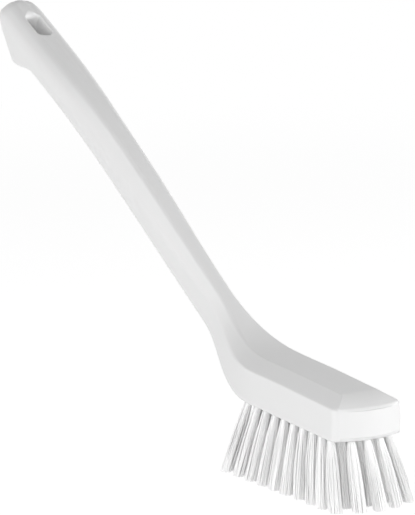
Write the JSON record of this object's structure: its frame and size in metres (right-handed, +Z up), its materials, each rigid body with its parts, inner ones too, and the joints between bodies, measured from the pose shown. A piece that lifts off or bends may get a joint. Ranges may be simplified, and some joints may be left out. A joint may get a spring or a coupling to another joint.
{
  "type": "wash brush",
  "caption": "Narrow wash brush: one-piece moulded block and long raised handle with a hooked end and hang hole, filled with splayed bristle tufts.",
  "frame": {"origin": "middle of the brush's length and width, at the level of the bristle tips that it stands on", "axes": "+X runs forward to the nose of the block, +Z is up, and the handle runs back and up towards -X"},
  "size_m": [0.3744, 0.0484, 0.2034],
  "materials": {
    "body": "moulded white polypropylene, satin",
    "bristle": "extruded white polyester filament, satin"
  },
  "bodies": {
    "root": {"brush_body": "body", "tuft_r1_c01": "bristle", "tuft_r1_c02": "bristle", "tuft_r1_c03": "bristle", "tuft_r1_c04": "bristle", "tuft_r1_c05": "bristle", "tuft_r1_c06": "bristle", "tuft_r1_c07": "bristle", "tuft_r1_c08": "bristle", "tuft_r1_c09": "bristle", "tuft_r1_c10": "bristle", "tuft_r2_c01": "bristle", "tuft_r2_c02": "bristle", "tuft_r2_c03": "bristle", "tuft_r2_c04": "bristle", "tuft_r2_c05": "bristle", "tuft_r2_c06": "bristle", "tuft_r2_c07": "bristle", "tuft_r2_c08": "bristle", "tuft_r2_c09": "bristle", "tuft_r2_c10": "bristle", "tuft_r3_c01": "bristle", "tuft_r3_c02": "bristle", "tuft_r3_c03": "bristle", "tuft_r3_c04": "bristle", "tuft_r3_c05": "bristle", "tuft_r3_c06": "bristle", "tuft_r3_c07": "bristle", "tuft_r3_c08": "bristle", "tuft_r3_c09": "bristle", "tuft_r3_c10": "bristle", "tuft_r4_c01": "bristle", "tuft_r4_c02": "bristle", "tuft_r4_c03": "bristle", "tuft_r4_c04": "bristle", "tuft_r4_c05": "bristle", "tuft_r4_c06": "bristle", "tuft_r4_c07": "bristle", "tuft_r4_c08": "bristle", "tuft_r4_c09": "bristle", "tuft_r4_c10": "bristle", "tuft_r5_c01": "bristle", "tuft_r5_c02": "bristle", "tuft_r5_c03": "bristle", "tuft_r5_c04": "bristle", "tuft_r5_c05": "bristle", "tuft_r5_c06": "bristle", "tuft_r5_c07": "bristle", "tuft_r5_c08": "bristle", "tuft_r5_c09": "bristle", "tuft_r5_c10": "bristle"}
  },
  "joints": []
}
